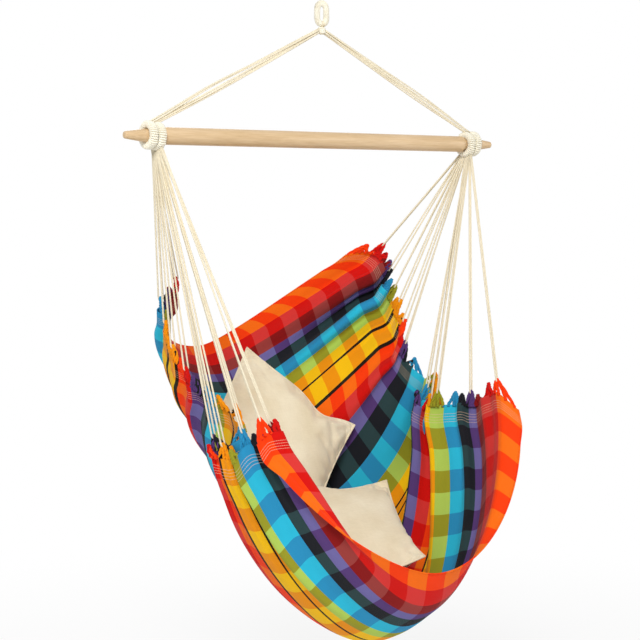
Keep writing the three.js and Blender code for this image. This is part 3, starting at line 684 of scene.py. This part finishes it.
def add_cord(name, points, body, node, sides=10):
    made = tube(points, cord_radius + cord_fuzz, sides)
    piece = add_mesh(name, made, body, "cotton_cord", node)
    length = sum(np.linalg.norm(np.subtract(b, a)) for a, b in zip(points, points[1:]))
    metres = [tuple(np.asarray(p) * MM) for p in points]
    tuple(metres[0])


ribbon_pitch, ribbon_pinch, strand_split = 3.8, 0.6, 5.0
foot_inset, foot_rise, head_out, head_rise = 7.3, 28, 6, 14
for side, sign in side_signs:
    foot = np.array((sign * (bridle_collar_x - foot_inset), 0, bar_z + foot_rise))
    head = np.array((sign * head_out, 0, throat_foot + head_rise))
    down = unit(foot - head)
    lift = np.array((-down[2] * sign, 0, down[0] * sign))
    across = np.array((0, 1.0, 0))
    for number in range(1, sum(bridle_row_counts) + 1):
        place = number - 3
        points = []
        for share in np.linspace(0, 1, 30):
            open_share = ribbon_pinch + (1 - ribbon_pinch) * sin(pi * share)
            shift = place * ribbon_pitch * open_share
            split = exp(-((share - 0.66) / 0.2) ** 2) * (1 if sign < 0 else 0.3)
            shift += (strand_split if place > 0 else -1) * split
            wander = 0.7 * sin(5 * share + 1.9 * number + sign)
            depth = 1.1 * sin(9 * share + 2.3 * number)
            points.append(
                head + (foot - head) * share + lift * (shift + wander - 1.5)
                + across * (depth + (1.7 if number % 2 else -1.7) * (1 - open_share) * 2)
            )
        name = f"bridle_{side}_cord_{number}"
        add_cord(name, points, "bridle", f"bridle_cord_{side}_{number}")


# -------- the seat's surface
def seat_points(rows):
    rows = np.asarray(rows, float)
    return np.stack([
        rows[:, 0] * seat_half_span,
        rows[:, 1] * seat_reach,
        bar_z - fan_top - rows[:, 2] * fan_height,
    ], axis=1)


class Side:
    """One end of the cloth: its loops' tips, and the hem below them."""

    def __init__(self, sign):
        table = np.asarray(loop_shares)
        first = 1 if sign > 0 else 4
        self.sign, self.shares = sign, table[:, 0]
        self.tips = seat_points(table[:, first:first + 3] * (sign, 1, 1))
        self.tip_curve = curve_through(self.shares, self.tips)
        self.foot = np.array((sign * seat_collar_x, 0, bar_z - collar_outside))

    def up(self, points):
        toward = self.foot - points
        return toward / np.linalg.norm(toward, axis=-1, keepdims=True)

    def end(self, share):
        """Where the cloth ends below its tips, carried on past its two edges as in a mirror."""
        share = np.atleast_1d(share)
        inside = np.clip(share, 0, 1)
        tips = (self.tip_curve(place) for place in (inside, 2 * inside - share))
        edge, mirrored = (
            tip - self.up(tip) * (loop_height + heading_height + seam_gap) for tip in tips
        )
        return 2 * edge - mirrored

    def smooth_end(self, share):
        window = np.linspace(-1, 1, 7) * pleat_window_share
        return sum(self.end(share + step) for step in window) / len(window)


sides = {-1: Side(-1), 1: Side(1)}
middle_table = np.asarray(middle_shares)
middle_line = curve_through(middle_table[:, 0], seat_points(middle_table[:, 1:]))


def straightness(sign, share):
    if sign > 0:
        return (
            1 - smooth_step((share - 0.292) / 0.18) + 0.25 * smooth_step((share - 0.528) / 0.18)
        )
    return 0.45 * smooth_step((share - 0.486) / 0.14)


def cloth_rows(side, run, shares):
    """Points of the cloth at one share of the way out, for each share of its width."""
    turn = run * hang_turn
    deep_rise = (1 - cos(turn)) / (1 - cos(hang_turn))
    deep_reach = sin(turn) / sin(hang_turn)
    ridge = ridge_round_share
    straight_rise = (hypot(run, ridge) - ridge) / (hypot(1, ridge) - ridge)
    straight = straightness(side.sign, shares)
    rise = deep_rise + (straight_rise - deep_rise) * straight
    reach = deep_reach + (run - deep_reach) * straight
    middle = middle_line(shares)
    hem = side.smooth_end(shares)
    edge = side.end(shares)
    place = (edge - hem) * smooth_step(run / pleat_run_share)
    place[:, 0] += middle[:, 0] + (hem[:, 0] - middle[:, 0]) * reach
    place[:, 1:] += middle[:, 1:] + (hem[:, 1:] - middle[:, 1:]) * rise[:, None]
    up = side.up(side.tip_curve(shares))
    hanging = edge - up * (hem_drop * (1 - run) / hem_run_share)
    blend = smooth_step((run - 1 + hem_run_share + hem_blend_share) / hem_blend_share)
    return place * (1 - blend) + hanging * blend


width_steps = 300
run_steps = 64
width_shares = np.linspace(0, 1, width_steps + 1)
runs = np.linspace(0, 1, run_steps + 1)
heading_steps = 2


def cloth_grid():
    columns = []
    for sign in (-1, 1):
        side = sides[sign]
        made = [cloth_rows(side, run, width_shares) for run in runs]
        tips = side.tip_curve(width_shares)
        up = side.up(tips)
        for step in range(1, heading_steps + 1):
            rise = (heading_height + seam_gap) * step / heading_steps
            made.append(side.end(width_shares) + up * rise)
        columns.append(made)
    left, right = columns
    return np.stack(left[:0:-1] + right, axis=1)


grid = cloth_grid()
normals = np.cross(np.gradient(grid, axis=0), np.gradient(grid, axis=1))
normals = normals / np.maximum(np.linalg.norm(normals, axis=2, keepdims=True), 1e-9)
steps = np.linalg.norm(np.diff(grid, axis=1), axis=2)
lengths = np.concatenate([np.zeros((grid.shape[0], 1)), np.cumsum(steps, axis=1)], axis=1)
run_share = lengths / lengths[:, -1:]
padded_rows = np.pad(run_share, ((14, 14), (0, 0)), "edge")
run_share = sum(padded_rows[step:step + grid.shape[0]] for step in range(29)) / 29

# Creases that run down from the loops and fade, and a soft unevenness nearer the middle
half_run = np.concatenate([runs, np.ones(heading_steps)])
column_run = np.concatenate([-half_run[:0:-1], half_run])
out = np.abs(column_run)[None, :]
wide = (width_shares * cloth_width)[:, None]
phase = np.where(column_run < 0, 1.7, 0.4)[None, :]
near_hem = smooth_step((out - 0.5) / 0.5)
# Each wave's depth, pitch, shift with the phase, sway and the sway's length
crease_waves = [(2.6, 63, 1, 0.8, 170), (1.6, 37, 2.1, 1, 90)]
crease = sum(
    depth * np.sin(2 * pi * wide / pitch + shift * phase + sway * np.sin(wide / length))
    for depth, pitch, shift, sway, length in crease_waves
) * near_hem
flute_depth, soft_depth = 6.5, 2.2


def fluted(side):
    """From 1 at a tip that a cord pulls on to -1 halfway to the next."""
    tips = [float(side.shares[row]) for row in corded[side.sign]]
    places = [-tips[0]] + tips + [2 - tips[-1]]
    return np.cos(2 * pi * np.interp(width_shares, places, np.arange(len(places))))


flutes = np.where(
    column_run[None, :] < 0, fluted(sides[-1])[:, None], fluted(sides[1])[:, None],
)
middle_place = np.array((0, 20.0, bar_z - fan_top - fan_height * 0.9))
outside_sign = copysign(1, float((normals * (grid - middle_place)).sum()))
crease = crease + flute_depth * outside_sign * flutes * smooth_step((out - 0.4) / 0.5)
uneven = np.sin(wide / 61 + 3 * column_run[None, :] + phase)
soft = soft_depth * uneven * smooth_step((out - 0.35) / 0.3)
keep_edges = smooth_step(np.minimum(wide, cloth_width - wide) / 60) * 0.7 + 0.3
grid = grid + normals * ((crease + soft) * keep_edges)[:, :, None]

cloth_points = grid.reshape(-1, 3)
cloth_uvs = [
    (share, width_share) for width_share, row in zip(width_shares, run_share) for share in row
]
cloth = add_mesh(
    "seat_cloth_checked", (cloth_points, quads(*grid.shape[:2]), cloth_uvs), "seat",
    "checked_cotton", "seat_cloth",
)
solidify = cloth.modifiers.new("thickness", "SOLIDIFY")
solidify.thickness, solidify.offset = 0.0014, 0


def add_hem(name, row):
    """The narrow rolled hem along the cloth's front or back edge."""
    verts, faces, _ = tube(grid[row], 1.9, 8)
    hem_share = abs(width_shares[row] - 0.004)
    uvs = [(share, hem_share) for share in run_share[row] for _ in range(9)]
    return add_mesh(name, (verts, faces, uvs), "seat", "checked_cotton")


hems = [add_hem("hem_back", 0), add_hem("hem_front", width_steps)]

# -------- fringe loops
fringe_radius = fringe_diameter / 2


def loop_frame(side, row):
    """A loop's tip, and its directions toward the cord's foot, along the hem and outward."""
    tip, up = side.tips[row], side.up(side.tips[row])
    feet = side.tips - side.up(side.tips) * (loop_height + heading_height / 2)
    ends = side.shares[row] + np.array((-1, 1)) * loop_width / cloth_width / 2
    along = np.diff([np.interp(ends, side.shares, axis) for axis in feet.T])[:, 0]
    along = unit(along - up * np.dot(along, up))
    outward = np.cross(along, up)
    return tip, up, along, -outward if outward[0] * side.sign < 0 else outward


# Each tent's bundles, the lay and radius of a strand, its steps and turns, and the arch's form
tent_bundles = 4
bundle_lay, bundle_strand = 2.1, 2.35
arch_steps, arch_turns = 34, 3.6
slack_least, slack_sway, shoulder_out, shoulder_drop, arch_bulge = 9, 5, 4.5, 7, 3


def twisted(points, strands=3):
    """Strands laid round a path, as tubes."""
    frames = list(frames_along(points))
    made = []
    for strand in range(strands):
        path = []
        for i, (point, first, second) in enumerate(frames):
            angle = 2 * pi * (strand / strands + arch_turns * i / (len(frames) - 1))
            path.append(point + bundle_lay * (first * cos(angle) + second * sin(angle)))
        made.append(tube(path, bundle_strand, 7))
    return made


def smooth_path(points, count):
    shares = np.linspace(0, 1, len(points))
    return list(curve_through(shares, points)(np.linspace(0, 1, count)))


def fringe_foot(side, share):
    up = side.up(side.tip_curve(share))[0]
    return side.end(share)[0] + up * (heading_height + seam_gap), up


def fringe_tent(side, row, low, high):
    """The bundles of warp ends that lean in from the heading to one tip, each pair one arch."""
    tip, up, along, outward = loop_frame(side, row)
    if row not in corded[side.sign]:
        tip = tip - up * (slack_least + slack_sway * sin(2.7 * row))
    seed = row * 1.7 + side.sign
    made = []
    places = [low + (high - low) * (k + 0.5) / tent_bundles for k in range(tent_bundles)]
    for k in range(tent_bundles // 2):
        ends = [places[k], places[tent_bundles - 1 - k]]
        legs = []
        for end, lean in zip(ends, (-1, 1)):
            foot, rise = fringe_foot(side, end)
            reach = np.linalg.norm(tip - foot)
            bulge = outward * sin(seed + 2.6 * k + lean) * arch_bulge
            shoulder = tip + along * lean * (shoulder_out - 1.5 * k) - up * shoulder_drop
            between = foot * 0.5 + shoulder * 0.5 + bulge + rise * reach * 0.06
            legs.append([foot - rise * 5, foot + rise * 2, between, shoulder])
        crown = tip + outward * (1.4 - 1.4 * k) + up * (0.6 - 0.5 * k)
        path = smooth_path(legs[0] + [crown] + legs[1][::-1], arch_steps)
        for index, (verts, faces, _) in enumerate(twisted(path)):
            ring_size = len(verts) // arch_steps
            uvs = []
            for i in range(len(verts)):
                share = i // ring_size / (arch_steps - 1)
                stripe_share = ends[0] + (ends[1] - ends[0]) * share + (index - 1) * 0.004
                uvs.append((0.035, float(np.clip(stripe_share, 0.003, 0.997))))
            made.append((verts, faces, uvs))
    return made


for word, sign in side_signs:
    side = sides[sign]
    inner = side.shares[1:-1]
    edges = [0.0, *((inner[:-1] + inner[1:]) / 2), 1.0]
    parts = []
    for row, (low, high) in enumerate(zip(edges, edges[1:]), 1):
        parts += fringe_tent(side, row, low, high)
    name = f"fringe_loops_{word}"
    add_mesh(name, join(parts), "seat", "fringe_cotton", f"fringe_{word}")

# -------- suspension cords
bend_steps = 4
bight_reach = (fringe_radius + 1.5 * gap + cord_radius) / cos(pi / bend_steps / 2)
for word, sign in side_signs:
    side = sides[sign]
    ordered = sorted(
        corded[sign],
        key=lambda row: -atan2(side.tips[row][1], bar_z - side.tips[row][2]),
    )
    for column, row in enumerate(ordered):
        tip, up, _, outward = loop_frame(side, row)
        head_y = fan_spread * (0.5 - column / (len(ordered) - 1))
        head_z = bar_z - sqrt(collar_outside**2 - head_y**2) - cord_diameter / 2
        heads = [
            np.array((
                sign * seat_collar_x + sign * share * (cord_diameter + gap * 2) / 2,
                head_y * 0.96, head_z + 3.5,
            )) for share in (1, -1)
        ]
        bend = [
            tip + outward * bight_reach * cos(angle) - up * bight_reach * sin(angle)
            for angle in np.linspace(0, pi, 9)
        ]
        down = [heads[0] + (bend[0] - heads[0]) * share for share in np.linspace(0, 0.98, 16)]
        rise = [bend[-1] + (heads[1] - bend[-1]) * share for share in np.linspace(0.02, 1, 16)]
        add_cord(
            f"suspension_{word}_cord_{column + 1}", down + bend + rise, "seat",
            f"seat_cord_{word}_{column + 1}", sides=8,
        )


# -------- cushions
def round_share(step, count):
    """A share from -1 to 1 whose steps grow finer toward both ends."""
    return sin(pi * (2 * step - count) / count / 2)


def on_rim(row, column, count):
    return row in (0, count) or column in (0, count)


cushion_fill, seam_radius, cushion_count, box_count = 0.8, 2.0, 56, 10


class Cushion:
    def __init__(self, corner_shares, sags, thickness):
        self.corners = seat_points(corner_shares)
        a, b, _, d = self.corners
        facing = unit(np.cross(b - a, d - a))
        self.facing = facing if facing[2] > 0 else -facing
        self.sags, self.thickness, self.fold = sags, thickness, None

    def middle(self, p, q, pull):
        """A place of the middle sheet, whose sides are drawn in by pull."""
        p, q = p * (1 - pull * (1 - q * q)), q * (1 - pull * (1 - p * p))
        a, b, c, d = self.corners
        near = a + (b - a) * (p + 1) / 2
        far = d + (c - d) * (p + 1) / 2
        place = near + (far - near) * (q + 1) / 2
        place = place - self.facing * (self.sags[0] * (1 - p * p) + self.sags[1] * (1 - q * q))
        if self.fold:
            fold_place, fold_width, fold_depth = self.fold
            depth = exp(-((p - fold_place) / fold_width) ** 2) * ((1 - q) / 2) ** 3
            place = place + unit(d - a) * fold_depth * depth
        return place

    def point(self, at, count, pull=0.07, thin=1.0, scale=1.0, power=0.6):
        """A point of a pillow's face; at is the face (0 above, 1 below), the row and the column."""
        layer, row, column = at
        p, q = round_share(column, count), round_share(row, count)
        crown = abs((1 - p * p) * (1 - q * q)) ** power
        rise = 0 if on_rim(row, column, count) else self.thickness * thin * crown / 2
        return self.middle(p * scale, q * scale, pull) + self.facing * rise * (1 - 2 * layer)


def pillow_net(count):
    """The places of a pillow's points, numbered, and the quads between them."""
    def place(layer, row, column):
        return 0 if on_rim(row, column, count) else layer, row, column

    net, faces = {}, []
    for layer in (0, 1):
        for row in range(count + 1):
            for column in range(count + 1):
                net.setdefault(place(layer, row, column), len(net))
        for row in range(count):
            for column in range(count):
                around = ((0, 0), (0, 1), (1, 1), (1, 0))
                face = [net[place(layer, row + down, column + over)] for down, over in around]
                faces.append(tuple(face if layer else face[::-1]))
    return net, faces


# Creases on each cushion's upper face: from and to, in shares of its half sides, with each one's
# depth in millimetres and its width as a share
crease_shares = {
    "back": [
        [0.42, -1.0, 0.18, 0.35, 8, 0.07], [0.62, -0.70, 0.95, -0.15, 5, 0.06],
        [-0.75, -0.80, -0.35, -0.45, 5, 0.06], [-0.30, -0.20, -0.10, 0.60, 4, 0.09],
        [0.90, 0.50, 0.45, 0.30, 5, 0.06],
    ],
    "seat": [
        [-0.98, 0.10, -0.55, 0.00, 6, 0.05], [-0.95, -0.42, -0.50, -0.25, 5, 0.05],
        [-0.90, -0.88, -0.60, -0.55, 5, 0.06], [-0.25, -0.97, -0.05, -0.60, 5, 0.05],
        [0.30, -0.97, 0.35, -0.55, 5, 0.05], [-0.45, 0.20, 0.20, -0.15, 4, 0.09],
    ],
}
line_depth, pucker_depth, broad_depth, fine_depth = 2.8, 2.0, 9.0, 3.5
cover_lift, deepest_dip = 2.5, 6.0


def creases(word, p, q):
    depth = 0.0
    for from_p, from_q, to_p, to_q, deep, width in crease_shares[word]:
        run_p, run_q = to_p - from_p, to_q - from_q
        along = ((p - from_p) * run_p + (q - from_q) * run_q) / (run_p**2 + run_q**2)
        inside = min(max(along, 0), 1)
        aside = hypot(p - from_p - run_p * inside, q - from_q - run_q * inside)
        groove = 1.6 * exp(-((aside / width) ** 2))
        banks = 0.6 * exp(-((aside / width / 2.4) ** 2))
        depth += deep * (1 - 0.7 * inside) * (groove - banks)
    return depth


def wrinkle(word, seed, p, q, half):
    """How far a cover stands out: lines from its corners, a puckered seam, waves and creases."""
    rim = max(abs(p), abs(q))
    lines = 0.0
    for corner_p, corner_q in ((1, 1), (1, -1), (-1, 1), (-1, -1)):
        dp, dq = corner_p - p, corner_q - q
        angle = atan2(dq * corner_q, dp * corner_p)
        fade = exp(-((hypot(dp, dq) - 0.45) / 0.38) ** 2)
        lines += fade * sin(9 * angle + seed + corner_p + 2 * corner_q + half)
    gather = smooth_step((rim - 0.66) / 0.2) * (1 - smooth_step((rim - 0.97) / 0.03))
    along = p if abs(q) > abs(p) else q
    pucker = sin(27 * along + seed * 2 + half + 1.5 * sin(5 * along)) * gather
    place = Vector((p * 1.4 + seed, q * 1.4, half * 3.1))
    waves = broad_depth * noise.noise(place) + fine_depth * noise.noise(place * 3.1)
    made = line_depth * lines + pucker_depth * pucker + waves * (1 - rim**4) + cover_lift
    if half > 0:
        made -= creases(word, p, q)
    return max(made, -deepest_dip) * min(1, (1 - rim) * 9)


coarse_grid = grid[::2, ::2]
cloth_tree = BVHTree.FromPolygons(
    [tuple(point) for point in coarse_grid.reshape(-1, 3)], quads(*coarse_grid.shape[:2]),
)
swell_pressure, swell_room, swell_cap, swell_frames = 8.0, 1.2, 22, 20
wadding_share = 0.9
net, net_faces = pillow_net(cushion_count)


def swollen(name, points, rim):
    """The cover as cloth, blown out over its filling and held at its seam."""
    pad = mesh_object(name, points, net_faces)
    held = pad.vertex_groups.new(name="held")
    held.add(rim, 1.0, "REPLACE")
    swell = pad.modifiers.new("swell", "CLOTH")
    set_all(
        swell.settings, quality=6, mass=0.3, tension_stiffness=12, compression_stiffness=12,
        shear_stiffness=5, bending_stiffness=0.05, shrink_min=-0.05, use_pressure=True,
        uniform_pressure_force=swell_pressure, vertex_group_mass="held",
    )
    swell.settings.effector_weights.gravity = 0
    swell.collision_settings.use_collision = False
    set_all(swell.point_cache, frame_start=1, frame_end=swell_frames)
    for frame_number in range(1, swell_frames + 1):
        bpy.context.scene.frame_set(frame_number)
    blown = pad.evaluated_get(bpy.context.evaluated_depsgraph_get())
    moved = np.array([tuple(vertex.co) for vertex in blown.to_mesh().vertices]) / MM
    blown.to_mesh_clear()
    bpy.data.objects.remove(pad)
    bpy.context.scene.frame_set(1)
    return list(moved)


def kept_clear(safe, wanted, others):
    """Points moved from their safe place toward the wanted one as far as there is room."""
    made = []
    for start, end in zip(safe, wanted):
        step = end - start
        room = swell_cap
        for other in others:
            distance = other.find_nearest(Vector(start))[3]
            if distance is not None:
                room = min(room, max(distance - swell_room, 0) * 0.85)
        made.append(start + step * min(1, room / max(np.linalg.norm(step), 1e-6)))
    return made


def add_cushion(word, sags, thickness, seed, full_pull, fold, others):
    body, count = f"{word}_cushion", cushion_count
    cushion = Cushion(cushion_corner_shares[word], sags, thickness)
    coarse = np.array([cushion.point(at, box_count) for at in pillow_net(box_count)[0]])
    low, high = (np.array(corner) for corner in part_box(f"{body}_cover"))
    settle = (low + high) / 2 / MM - (coarse.min(0) + coarse.max(0)) / 2
    cushion.fold = fold

    # The filling is a little slacker than the cover, so that it never shows through
    filling = [
        cushion.point(at, count, 0.09, wadding_share**3, wadding_share, 0.7) + settle for at in net
    ]
    block = add_mesh(f"{body}_wadding", (filling, net_faces), body, "wadding", f"{body}_filling")
    safe = [cushion.point(at, count) + settle for at in net]
    wanted = [cushion.point(at, count, full_pull, 1.03) + settle for at in net]
    rim = [number for (_, r, c), number in net.items() if on_rim(r, c, count)]
    wanted = swollen(f"{body}_swell", wanted, rim)
    for (layer, row, column), number in net.items():
        if not on_rim(row, column, count):
            p, q, half = round_share(column, count), round_share(row, count), 1 - 2 * layer
            step = cushion.facing * half * wrinkle(word, seed, p, q, half)
            wanted[number] = wanted[number] + step
    verts = kept_clear(safe, wanted, others)
    cover = add_mesh(f"{body}_linen", (verts, net_faces), body, "linen", f"{body}_cover")
    finer = cover.modifiers.new("finer", "SUBSURF")
    finer.levels = finer.render_levels = 1

    # The seam that closes the cover, all round its rim
    rim = [(0, c) for c in range(count)] + [(r, count) for r in range(count)]
    rim += [(count, c) for c in range(count, 0, -1)] + [(r, 0) for r in range(count, 0, -1)]
    path = [verts[net[(0, r, c)]] for r, c in rim]
    seam = tube(path, seam_radius, 8, closed=True, first_normal=tuple(cushion.facing))
    add_mesh(f"{body}_seam", seam, body, "linen")
    return BVHTree.FromPolygons([tuple(point) for point in verts], net_faces)


seat_tree = add_cushion("seat", [30, 60], 120, 0.7, -0.02, None, [cloth_tree])
add_cushion("back", [0, 20], 90, 2.3, 0.05, (0.45, 0.3, 30), [cloth_tree, seat_tree])
for word in ("seat", "back"):
    zip_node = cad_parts[f"{word}_cushion_zip"]
    zip_node.data.materials.clear()
    zip_node.data.materials.append(looks["zip_tape"])

# -------- floor, light and world
floor_z, floor_half = -1860, 14000
floor = mesh_object(
    "floor",
    [(x * floor_half, y * floor_half, floor_z) for x, y in ((-1, -1), (1, -1), (1, 1), (-1, 1))],
    [(0, 1, 2, 3)],
)
floor_shade = Shade("floor", Roughness=0.9, Base_Color=(0.9, 0.9, 0.9, 1))
floor_far = floor_shade.node("ShaderNodeVectorMath", operation="LENGTH")
floor_shade.fill(floor_far, {0: floor_shade.place()})
floor_fade = floor_shade.fill(
    floor_shade.node("ShaderNodeMapRange", interpolation_type="SMOOTHSTEP"), {
        "Value": floor_far.outputs["Value"],
        "From Min": 2.0, "From Max": 3.4, "To Min": 0.72, "To Max": 1.0,
    },
)
glow = floor_shade.node("ShaderNodeEmission")
floor_shade.show_apart(floor_shade.bsdf, glow, "Material Output", floor_fade)
floor.data.materials.append(floor_shade.material)


def area_light(name, location, target, size, power):
    data = bpy.data.lights.new(name, "AREA")
    set_all(data, shape="DISK", size=size, energy=power)
    lamp = new_object(name, data)
    lamp.location = location
    aim = Vector(target) - Vector(location)
    lamp.rotation_euler = aim.to_track_quat("-Z", "Y").to_euler()


area_light("key", (-3.2, -3.6, 2.2), (0, 0, -0.9), 1.8, 205)
area_light("fill", (3.4, -3.0, 0.2), (0, 0, -0.9), 2.6, 34)
area_light("rim", (1.0, 3.6, 1.6), (0, 0, -0.7), 2.0, 60)

world = bpy.data.worlds.new("world")
world.use_nodes = True
bpy.context.scene.world = world
sky = Nodes(world.node_tree)
background = sky.tree.nodes["Background"]
white = sky.node("ShaderNodeBackground")
for node, strength in ((background, 0.46), (white, 1.0)):
    sky.fill(node, {"Color": (1, 1, 1, 1), "Strength": strength})
sky.show_apart(background, white, "World Output")

bpy.context.scene.view_settings.view_transform = "Standard"
